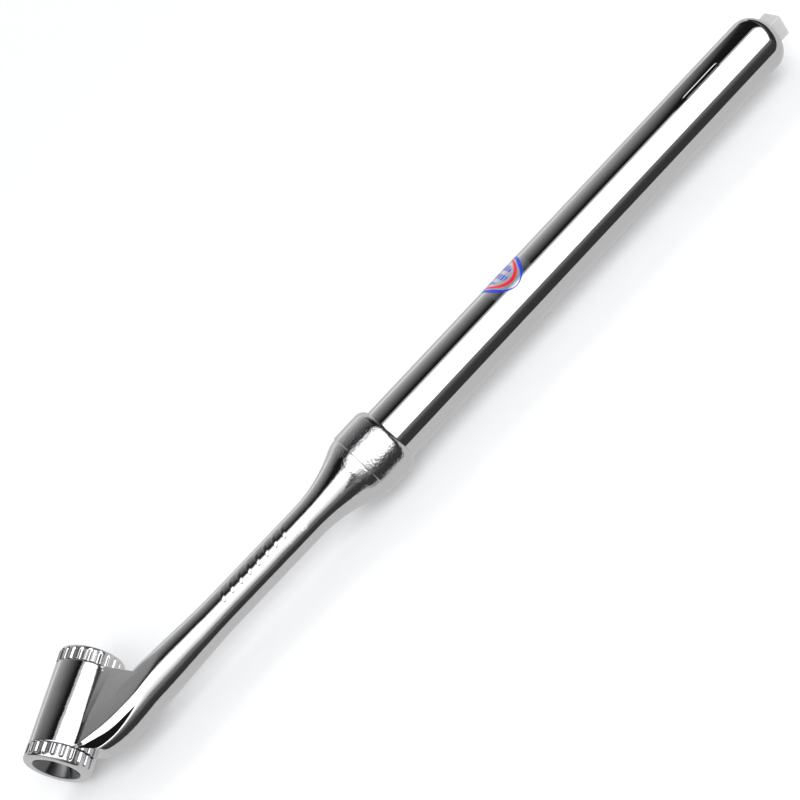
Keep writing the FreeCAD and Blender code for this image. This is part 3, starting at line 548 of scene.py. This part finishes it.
def number_mesh(text, place):
    """The text as flat faces, moved by the 4 by 4 matrix `place`."""
    font = bpy.data.curves.new(f"number_{text}", "FONT")
    font.body = text
    font.size = TEXT_SIZE * MM
    font.align_x, font.align_y = "CENTER", "CENTER"
    holder = bpy.data.objects.new(font.name, font)
    mesh = bpy.data.meshes.new_from_object(holder)
    mesh.transform(place)
    bpy.data.objects.remove(holder)
    return mesh


def number_place(reading, face):
    """Where a number sits: turned to read across the bar, on one of its four faces."""
    x = SCALE_ZERO + (SCALE_FULL - SCALE_ZERO) * reading / FULL_READING
    lift = Matrix.Translation((x * MM, -TEXT_SHIFT * MM, (HALF_SIDE + TEXT_LIFT) * MM))
    spin = Matrix.Rotation(BAR_TURN + face * math.pi / 2, 4, "X")
    return spin @ lift @ Matrix.Rotation(math.pi / 2, 4, "Z")


def joined(name, meshes, body):
    """One piece from many meshes, without the UV layers that text brings along."""
    cells = bmesh.new()
    for mesh in meshes:
        cells.from_mesh(mesh)
    whole = bpy.data.meshes.new(name)
    cells.to_mesh(whole)
    cells.free()
    while whole.uv_layers:
        whole.uv_layers.remove(whole.uv_layers[0])
    piece = bpy.data.objects.new(name, whole)
    bpy.context.scene.collection.objects.link(piece)
    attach(piece, body)
    return piece


readings = range(STEP, FULL_READING + 1, STEP)
numbers = joined("scale_numbers", [number_mesh(str(r), number_place(r, face))
                                   for face in (0, 2) for r in readings], "indicator")
print("numbers:", len(numbers.data.polygons), "faces")

# %% [markdown]
# ## Label
#
# The label is printed film wrapped part of the way round the tube.  It is a single curved sheet
# with a UV map, so that the print can follow the film, and Solidify gives it its thickness.

# %% Label sheet
LABEL_START, LABEL_END, LABEL_TURN, LABEL_WRAP = 47.6, 61.0, math.radians(85), math.radians(71)
LABEL_CORNER, LABEL_LIFT, LABEL_THICKNESS = 1.0, 0.03, 0.07


def label_sheet(rows, columns):
    """Points at (x, R cos a, R sin a), with the sheet's four corners cut round."""
    share = np.linspace(0.5, -0.5, rows)[:, None]
    angle, round_tube = LABEL_TURN + share * LABEL_WRAP, LABEL_WRAP * TUBE_RADIUS
    into_corner = np.maximum((np.abs(share) - 0.5) * round_tube + LABEL_CORNER, 0)
    corner = LABEL_CORNER - np.sqrt(np.maximum(LABEL_CORNER ** 2 - into_corner ** 2, 0))
    half = (LABEL_END - LABEL_START) / 2 - corner
    x = (LABEL_START + LABEL_END) / 2 + np.linspace(-1, 1, columns) * half
    radius = TUBE_RADIUS + LABEL_LIFT
    return np.stack(np.broadcast_arrays(x, radius * np.cos(angle), radius * np.sin(angle)), axis=-1)


label = skin("printed_label", label_sheet(60, 30), "gauge_body", loop_columns=False)
uv = label.data.uv_layers.new(name="print")
corner_vertex = np.empty(len(label.data.loops), int)
label.data.loops.foreach_get("vertex_index", corner_vertex)
where = np.empty(len(label.data.vertices) * 3)
label.data.vertices.foreach_get("co", where)
where = where.reshape(-1, 3) / MM
flat_u = (where[:, 0] - LABEL_START) / (LABEL_END - LABEL_START)
flat_v = 0.5 - (np.arctan2(where[:, 2], where[:, 1]) - LABEL_TURN) / LABEL_WRAP
uv.data.foreach_set("uv", np.stack([flat_u, flat_v], axis=-1)[corner_vertex].ravel())
thickness = label.modifiers.new("film", "SOLIDIFY")
thickness.thickness = LABEL_THICKNESS * MM
thickness.offset = -1
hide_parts("tube_label")

# %% [markdown]
# ## Calibrated spring
#
# The spring is what measures: it gives way in proportion to the pressure on the piston. Its wire
# is a circle carried along a helix, and the two end turns lie flat because the pitch fades there.

# %% Spring wire
SPRING_START, SPRING_END, SPRING_TURNS, SPRING_MEAN, WIRE = 4.65, 136.2, 24, 5.7, 0.85
FLAT_TURNS, POLE_TURNS = (0.4, 1.4), 0.02


def spring_wire(rows, columns):
    """Circles of the wire's radius about (x, R cos a, R sin a), with a pole at each end."""
    turn = np.linspace(0, SPRING_TURNS, rows)
    to_end = np.minimum(turn, SPRING_TURNS - turn)
    pitch = smooth_rise(to_end, *FLAT_TURNS) + 0.001
    climb = np.concatenate([[0], np.cumsum((pitch[1:] + pitch[:-1]) / 2)])
    first, last = SPRING_START + WIRE, SPRING_END - WIRE
    x = (first + (last - first) * climb / climb[-1])[:, None]
    angle = 2 * np.pi * turn[:, None]
    round_wire = np.linspace(0, 2 * np.pi, columns, endpoint=False)
    end_size = np.sqrt(np.clip(to_end / POLE_TURNS, 0, 1))[:, None]
    radius = SPRING_MEAN + end_size * WIRE * np.cos(round_wire)
    return np.stack([x + end_size * WIRE * np.sin(round_wire), radius * np.cos(angle),
                     radius * np.sin(angle)], axis=-1)


spring = skin("spring", spring_wire(SPRING_TURNS * 40 + 1, 12), "gauge_body")
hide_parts("calibrated_spring")
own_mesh(spring)

# %% [markdown]
# # Finishes
#
# Shader maths reads best as ordinary arithmetic.  `Signal` wraps one socket, and adding or
# multiplying signals adds Math nodes.  `Finish` is a material with one method for any node.

# %% Shader arithmetic
class Signal:
    """An output socket; arithmetic on it adds a Math node to its finish."""

    def __init__(self, finish, socket):
        self.finish, self.socket = finish, socket

    def math(self, operation, *others):
        """This signal, then the others, through one Math node."""
        values = dict(enumerate((self,) + others))
        return self.finish.node("ShaderNodeMath", {"operation": operation}, values)

    def clamped(self):
        """This signal, held between 0 and 1."""
        return self.math("MAXIMUM", 0.0).math("MINIMUM", 1.0)

    def __add__(self, other):
        return self.math("ADD", other)

    def __mul__(self, other):
        return self.math("MULTIPLY", other)

    def __sub__(self, other):
        return self.math("SUBTRACT", other)

    def __rsub__(self, other):
        return self.finish.node("ShaderNodeMath", {"operation": "SUBTRACT"}, {0: other, 1: self})

    def __truediv__(self, other):
        return self.math("DIVIDE", other)

    __radd__, __rmul__ = __add__, __mul__


class Finish:
    """A material and the nodes that make it."""

    def __init__(self, name):
        self.material = bpy.data.materials.new(name)
        self.material.use_nodes = True
        self.nodes = self.material.node_tree.nodes
        self.links = self.material.node_tree.links
        self.nodes.clear()

    def node(self, kind, settings=None, inputs=None, output=0):
        """Add a node: its settings first, then the values or links of its sockets."""
        made = self.nodes.new(kind)
        for key, value in (settings or {}).items():
            setattr(made, key, value)
        for key, value in (inputs or {}).items():
            if isinstance(value, Signal):
                self.links.new(value.socket, made.inputs[key])
            else:
                made.inputs[key].default_value = value
        return Signal(self, made.outputs[output])

    def place(self, scale=(1, 1, 1)):
        """Object coordinates, stretched by a scale along each axis."""
        source = self.node("ShaderNodeTexCoord", output="Object")
        return self.node("ShaderNodeMapping", {}, {"Vector": source, "Scale": scale})

    def in_mm(self):
        """Object coordinates in millimetres."""
        return self.place((1 / MM, 1 / MM, 1 / MM))

    def part(self, vector, axis=0):
        """One part of a vector: 0 is X, 1 is Y and 2 is Z."""
        return self.node("ShaderNodeSeparateXYZ", {}, {0: vector}, axis)

    def along(self, vector, direction):
        """The dot product of a vector with a fixed direction."""
        return self.node("ShaderNodeVectorMath", {"operation": "DOT_PRODUCT"},
                         {0: vector, 1: tuple(direction)}, output=1)

    def noise(self, scale, detail=2.0, stretch=(1, 1, 1)):
        """Fractal noise, about 0.5 on average."""
        return self.node("ShaderNodeTexNoise", {}, {
            "Vector": self.place(stretch), "Scale": scale, "Detail": detail})

    def bump(self, height, distance, below=None):
        """Tilt the surface by a height signal; `below` is a bump that lies underneath."""
        inputs = {"Height": height, "Strength": 1.0, "Distance": distance}
        if below is not None:
            inputs["Normal"] = below
        return self.node("ShaderNodeBump", {}, inputs)

    def mix(self, share, first, second):
        """Blend two colours: the first at 0 and the second at 1."""
        return self.node("ShaderNodeMix", {"data_type": "RGBA"},
                         {0: share, 6: first, 7: second}, output=2)

    def surface(self, **sockets):
        """The Principled shader, and the material's output."""
        inputs = {name.replace("_", " "): value for name, value in sockets.items()}
        shader = self.node("ShaderNodeBsdfPrincipled", {}, inputs)
        target = self.nodes.new("ShaderNodeOutputMaterial")
        self.links.new(shader.socket, target.inputs["Surface"])
        return self.material


# %% [markdown]
# ## Chrome
#
# Chrome is nearly colourless and mirror-bright, so what it shows is its surroundings.  What tells
# one chromed piece from another is how true the surface under the plating is: drawn tube is
# almost perfect, turned rings are satin, and a die casting is slightly wavy.  Two masks are added:
# painted shade that darkens the colour inside the feet's mouths, and rough casting on the collar as
# a bump.

# %% Three kinds of chrome
# The second colour gives all chrome a faint random tone, and is painted shade inside the feet's
# mouths.
BRIGHT, DULL_AND_SHADE = (0.83, 0.83, 0.84, 1), (0.17, 0.17, 0.175, 1)
COARSE_SCALE, COARSE_DEPTH = 1700, 0.00009
MOUTH_RADIUS, MOUTH_END = 6.15, RING_END + 0.09
ROUGH_END, ROUGH_FADE = -13.0, 6.0


def chrome(name, roughness, waves, pits, stretch=(1, 1, 1), painted_shade=None, rough_cast=None):
    """Plating over waves and pits of (scale per metre, depth in metres); the last two are masks:
    painted shade in the colour, and a rough bump.
    """
    finish = Finish(name)
    haze = finish.noise(900, 3.0, stretch)
    swell = finish.bump(finish.noise(waves[0], 1.0, stretch), waves[1])
    grain = finish.bump(finish.noise(pits[0], 3.0, stretch), pits[1], below=swell)
    if rough_cast:
        coarse = finish.noise(COARSE_SCALE, 4.0) * rough_cast(finish)
        grain = finish.bump(coarse, COARSE_DEPTH, below=grain)
    # Where a mask is given, it paints shade into the colour; otherwise the colour drifts by a faint
    # random tone.
    colour = finish.mix(painted_shade(finish) if painted_shade else haze * 0.1, BRIGHT, DULL_AND_SHADE)
    return finish.surface(Base_Color=colour, Metallic=1.0, Roughness=roughness + haze * 0.03,
                          Normal=grain)


def inside_mouth(finish):
    """Painted shade inside the mouths: 1 near the barrel's axis, as far out as the rings' faces,
    with an edge 0.25 mm wide.
    """
    here = finish.in_mm()
    w, q, z = (finish.along(here, direction) - float(barrel_centre @ direction)
               for direction in (along_barrel, out_of_barrel, up))
    radius = (q * q + z * z).math("SQRT")
    inside = (1.0 - (radius - MOUTH_RADIUS) * 4.0).clamped()
    return inside * w.math("ABSOLUTE").math("LESS_THAN", MOUTH_END)


def near_collar(finish):
    """1 on the collar's band, fading out along the flare, where the casting was left rough."""
    x = finish.part(finish.in_mm())
    return ((x - ROUGH_END) / ROUGH_FADE).clamped()


tube_chrome = chrome("tube_chrome", 0.03, (40, 0.00003), (2500, 0.0000008), stretch=(0.15, 1, 1))
# The rings' colour is darkened by painted shade inside the feet's mouths.
ring_chrome = chrome("ring_chrome", 0.17, (160, 0.00003), (3500, 0.000003), painted_shade=inside_mouth)
cast_chrome = chrome("cast_chrome", 0.05, (110, 0.00012), (1300, 0.000010), rough_cast=near_collar)
for material in (tube_chrome, ring_chrome, cast_chrome):
    print(f"{material.name}: {len(material.node_tree.nodes)} nodes")

# %% [markdown]
# ## Nylon with a printed scale
#
# The bar is natural nylon: pale, slightly see-through, with a soft sheen.  Its graduations are
# lines at a regular pitch along X.  A saw-tooth of x repeats every division, and comparing it with
# the line's width gives the mask; every fifth line is longer.

# %% Nylon bar
def printed_nylon():
    """White nylon with dark lines where the saw-tooth of x falls inside a line's width."""
    finish = Finish("printed_nylon")
    here = finish.in_mm()
    x, y, z = (finish.part(here, axis) for axis in range(3))
    turned = y * math.cos(BAR_TURN) + z * math.sin(BAR_TURN)
    raised = z * math.cos(BAR_TURN) - y * math.sin(BAR_TURN)
    on_flat = raised.math("ABSOLUTE").math("GREATER_THAN", HALF_SIDE - 0.02)
    reading = (SCALE_ZERO - x) * (FULL_READING / (SCALE_ZERO - SCALE_FULL))
    on_scale = reading.math("GREATER_THAN", 4.0) * reading.math("LESS_THAN", FULL_READING + 1.0)
    side = turned * raised.math("SIGN")

    def lines(division, half_width, reach):
        """1 within a share `half_width` of each division, beyond `reach` from the middle."""
        saw = (reading / division + 0.5).math("FRACT") - 0.5
        return saw.math("ABSOLUTE").math("LESS_THAN", half_width) * side.math("GREATER_THAN", reach)

    ink = lines(2.0, 0.07, 1.4).math("MAXIMUM", lines(STEP, 0.019, 0.6)) * on_scale * on_flat
    cloud = finish.noise(140, 2.0)
    body = finish.mix(cloud, (0.50, 0.50, 0.49, 1), (0.57, 0.57, 0.56, 1))
    return finish.surface(
        Base_Color=finish.mix(ink, body, (0.02, 0.02, 0.03, 1)),
        Roughness=0.24 + cloud * 0.1, Subsurface_Weight=0.15,
        Subsurface_Radius=(0.003, 0.003, 0.003), Subsurface_Scale=0.6,
        Normal=finish.bump(finish.noise(1200, 2.0, (0.2, 1, 1)), 0.000004))


def plain(name, colours, roughness, grain, metallic=0.0, stretch=(1, 1, 1), **constants):
    """A finish whose colour drifts between two tones and whose grain is a fine bump."""
    finish = Finish(name)
    drift = finish.noise(220, 3.0, stretch)
    return finish.surface(
        Base_Color=finish.mix(drift, *colours), Metallic=metallic,
        Roughness=roughness + drift * 0.12,
        Normal=finish.bump(finish.noise(grain[0], 3.0, stretch), grain[1]), **constants)


nylon = printed_nylon()
number_ink = plain("scale_ink", ((0.015, 0.015, 0.02, 1), (0.03, 0.03, 0.035, 1)), 0.4,
                   (3000, 1e-6))
print(f"{nylon.name}: {len(nylon.node_tree.nodes)} nodes")

# %% [markdown]
# ## Printed label
#
# The film is clear and glossy, so the tube shows through between the print.  The print is a red and
# a blue stripe that sweep round the front in half an ellipse, with rows of plain dashes inside.
# It is drawn in the sheet's UV space, where u runs along the tube and v runs round it.

# %% Label print
OVAL_EDGE, BLUE_INSIDE, RED_OUTSIDE, RED_INSIDE, DASHES_END = 0.985, 0.85, 0.81, 0.70, 0.6


def printed_film():
    """Clear film; the stripes follow sqrt((2u - 1)^2 + (1 - v)^2), which is 1 on the ellipse."""
    finish = Finish("printed_film")
    print_uv = finish.node("ShaderNodeUVMap", {"uv_map": "print"})
    u, v = (finish.part(print_uv, axis) for axis in range(2))
    along, inward = u * 2.0 - 1.0, 1.0 - v
    reach = (along * along + inward * inward).math("SQRT")
    thinner_in_front = (inward - 0.55).math("MAXIMUM", 0.0) * 0.26
    on_oval = reach.math("LESS_THAN", OVAL_EDGE)
    blue = (reach - thinner_in_front).math("GREATER_THAN", BLUE_INSIDE) * on_oval
    red = reach.math("GREATER_THAN", RED_INSIDE) * reach.math("LESS_THAN", RED_OUTSIDE)
    row = (along * 2.3 + 0.5).math("FRACT").math("LESS_THAN", 0.6)
    dash = (v * 8.0).math("FRACT").math("LESS_THAN", 0.55)
    dashes = row * dash * reach.math("LESS_THAN", DASHES_END)
    ink = blue.math("MAXIMUM", red).math("MAXIMUM", dashes)
    haze = on_oval * 0.21 + 0.04
    cloud = finish.noise(400, 2.0)
    clear = finish.mix(cloud, (0.70, 0.76, 0.86, 1), (0.78, 0.82, 0.90, 1))
    inked = finish.mix(blue.math("MAXIMUM", dashes), clear, (0.015, 0.05, 0.62, 1))
    inked = finish.mix(red, inked, (0.75, 0.02, 0.04, 1))
    return finish.surface(Base_Color=inked, Roughness=0.16 + cloud * 0.08, Coat_Weight=0.6,
                          Coat_Roughness=0.05, Alpha=haze + ink * 0.7)


film = printed_film()
print(f"{film.name}: {len(film.node_tree.nodes)} nodes")

# %% [markdown]
# ## Pieces inside
#
# The piston, cup, washers and spring are out of sight until the gauge is cut open, but each one
# still has the finish of its own metal or rubber.

# %% Other finishes
brass = plain("turned_brass", ((0.62, 0.43, 0.16, 1), (0.70, 0.52, 0.22, 1)), 0.22, (2600, 2e-6),
              metallic=1.0)
rubber = plain("moulded_rubber", ((0.018, 0.018, 0.018, 1), (0.035, 0.035, 0.035, 1)), 0.55,
               (1800, 4e-6))
aluminium = plain("turned_aluminium", ((0.66, 0.67, 0.68, 1), (0.78, 0.78, 0.79, 1)), 0.28,
                  (2600, 2e-6), metallic=1.0)
spring_steel = plain("oiled_spring_steel", ((0.36, 0.36, 0.37, 1), (0.5, 0.5, 0.51, 1)), 0.25,
                     (3200, 1e-6), metallic=1.0)
black_plastic = plain("moulded_acetal", ((0.02, 0.02, 0.02, 1), (0.035, 0.035, 0.035, 1)), 0.4,
                      (1500, 3e-6))

finish_of_slot = {
    "cast_chrome": cast_chrome, "ring_chrome": ring_chrome, "tube_chrome": tube_chrome,
    "brass": brass, "rubber": rubber, "aluminium": aluminium, "spring_steel": spring_steel,
    "bar_nylon": nylon, "black_plastic": black_plastic, "label_film": film,
}


def dress(piece, finish):
    """Give every material slot of a piece this finish."""
    if not piece.data.materials:
        piece.data.materials.append(finish)
    for slot in piece.material_slots:
        slot.material = finish


for part in frame["record"]["subparts"]:
    dress(frame["nodes"][part["node"]], finish_of_slot[part["material_slot"]])
for piece in cast_pieces:
    dress(piece, cast_chrome)
for ring in rings:
    dress(ring, ring_chrome)
dress(tube, tube_chrome)
dress(bar, nylon)
dress(numbers, number_ink)
dress(label, film)
dress(spring, spring_steel)
print(len(set(finish_of_slot.values()) | {number_ink}), "finishes in use")

# %% [markdown]
# # Setting
#
# The gauge lies on a pale floor.  Chrome is lit by one big softbox above and in front, and ringed
# by cards of dark and graded paper, which draw the dark bands and soft edges that give the metal
# its shape.  The paper glows a little, so its grey is set outright and doesn't hang on the lamps.
# The cards are there for reflections alone: the camera, the shadows and the soft light ignore them.

# %% Floor and cards
def flat_panel(name, corners, material):
    """A stage panel through four corners given in mm."""
    mesh = bpy.data.meshes.new(name)
    mesh.from_pydata((np.array(corners) * MM).tolist(), [], [(0, 1, 2, 3)])
    panel = bpy.data.objects.new(name, mesh)
    panel.data.materials.append(material)
    bpy.context.scene.collection.objects.link(panel)
    return panel


floor_level = cad_box[0][2] / MM
pale = plain("pale_floor", ((0.86, 0.86, 0.86, 1), (0.88, 0.88, 0.88, 1)), 0.7, (60, 1e-6))
far = 3000
flat_panel("floor", [(x, y, floor_level) for x, y in
                     ((-far, -far), (far, -far), (far, far), (-far, far))], pale)


def glowing_paper(name, start, run, greys, turn):
    """Paper of one grey up to `turn`, then a ramp; `turn` is a share of the run or gives one."""
    finish = Finish(name)
    turn = turn(finish) if callable(turn) else turn
    step = run / (run @ run)
    reach = finish.along(finish.in_mm(), step) - float(start @ step)
    share = (reach - turn) / (1.0 - turn)
    first, second = ((grey, grey, grey, 1) for grey in greys)
    return finish.surface(Base_Color=(0, 0, 0, 1), Roughness=1.0, Specular_IOR_Level=0.0,
                          Emission_Color=finish.mix(share, first, second), Emission_Strength=1.0)


def card(name, corner, run, width, greys, turn=0.5):
    """A card from `corner`, spanned by two vectors; its grey changes along `run`."""
    corner, run, width = (np.array(vector, float) for vector in (corner, run, width))
    paper = glowing_paper(name, corner, run, greys, turn)
    panel = flat_panel(name, [corner, corner + run, corner + run + width, corner + width], paper)
    panel.visible_camera = panel.visible_diffuse = panel.visible_shadow = False
    panel.visible_transmission = False
    print(f"{name}: {np.linalg.norm(run):.0f} x {np.linalg.norm(width):.0f} mm, glow {greys}")


def turn_along_gauge(finish):
    """A turn at 0.04 above the gauge's middle, later by 0.36 at its tip and 0.20 at its head."""
    x = finish.part(finish.in_mm())
    at_tip, at_head = ((x - 250.0) / 200.0).clamped(), ((-150.0 - x) / 300.0).clamped()
    return at_tip * 0.36 + at_head * 0.20 + 0.04


LENGTH = (1800, 0, 0)
card("floor_card", (-900, -900, floor_level + 0.2), (0, 1800, 0), LENGTH, (0.58, 0.58))
card("front_low_card", (-900, -26, floor_level + 0.4), (0, -674, 0), LENGTH, (0.04, 0.06), 0.0)
card("front_card", (-900, -700, floor_level + 0.4), (0, 0, 251), LENGTH, (0.05, 0.24), 0.1)
card("back_card", (-900, 45, 430), (0, 1500, -400), LENGTH, (0.010, 1.15), turn_along_gauge)
card("tip_card", (900, -850, floor_level + 0.4), (0, 0, 700), (0, 1700, 0), (0.03, 0.40), 0.3)
card("neck_card", (-560, -860, 284), (0, 530, 96), (515, 0, 0), (0.16, 1.25), 0.15)
card("left_card", (-580, -850, 300), (-600, 0, 0), (0, 842, 150), (0.10, 0.05), 0.0)

# %% [markdown]
# ## Lights
#
# The softbox is one large area light, tipped so that its reflection covers the upper front of
# every round surface.  A second lamp from behind and a pale surround fill the rest.

# %% Softbox and surround
def lamp(name, centre, aim, size, power):
    """A rectangular area light at `centre`, facing `aim`, both in mm."""
    light = bpy.data.lights.new(name, "AREA")
    light.shape, light.energy = "RECTANGLE", power
    light.size, light.size_y = size[0] * MM, size[1] * MM
    holder = bpy.data.objects.new(name, light)
    direction = np.array(aim, float) - np.array(centre, float)
    back = -direction / np.linalg.norm(direction)
    side = np.array([1.0, 0.0, 0.0])
    upright = np.cross(back, side)
    upright /= np.linalg.norm(upright)
    matrix = np.eye(4)
    matrix[:3, 0], matrix[:3, 1], matrix[:3, 2] = side, upright, back
    matrix[:3, 3] = np.array(centre) * MM
    holder.matrix_world = Matrix(matrix.tolist())
    bpy.context.scene.collection.objects.link(holder)
    print(f"{name}: {size[0]} x {size[1]} mm, {power} W")


lamp("softbox", (260, -430, 372), (260, -288, -400), (1680, 858), 5.7)
lamp("back_fill", (0, 900, 700), (0, 0, 0), (1600, 500), 6)
surround = bpy.data.worlds.new("surround")
surround.use_nodes = True
surround.node_tree.nodes["Background"].inputs["Color"].default_value = (0.9, 0.92, 0.95, 1)
surround.node_tree.nodes["Background"].inputs["Strength"].default_value = 0.6
bpy.context.scene.world = surround

# %% [markdown]
# ## Camera
#
# The camera looks down on the gauge from the front at about 42 degrees and is rolled, so that the
# gauge lies across the render from corner to corner.

# %% Camera
EYE = np.array([-21.01, -289.21, 267.05])
RIGHT = np.array([0.682033, -0.532847, -0.500843])
FORWARD = np.array([0.087279, 0.739262, -0.667703])
lens = bpy.data.cameras.new("camera")
lens.lens, lens.sensor_width = 69.80, 36
lens.clip_start, lens.clip_end = 0.01, 20
camera = bpy.data.objects.new("camera", lens)
view_matrix = np.eye(4)
view_matrix[:3, 0], view_matrix[:3, 1] = RIGHT, np.cross(RIGHT, FORWARD)
view_matrix[:3, 2], view_matrix[:3, 3] = -FORWARD, EYE * MM
camera.matrix_world = Matrix(view_matrix.tolist())
bpy.context.scene.collection.objects.link(camera)
bpy.context.scene.camera = camera
bpy.context.scene.view_settings.view_transform = "Standard"
print(f"camera: {np.linalg.norm(EYE):.0f} mm from the origin, {lens.lens:.1f} mm lens")
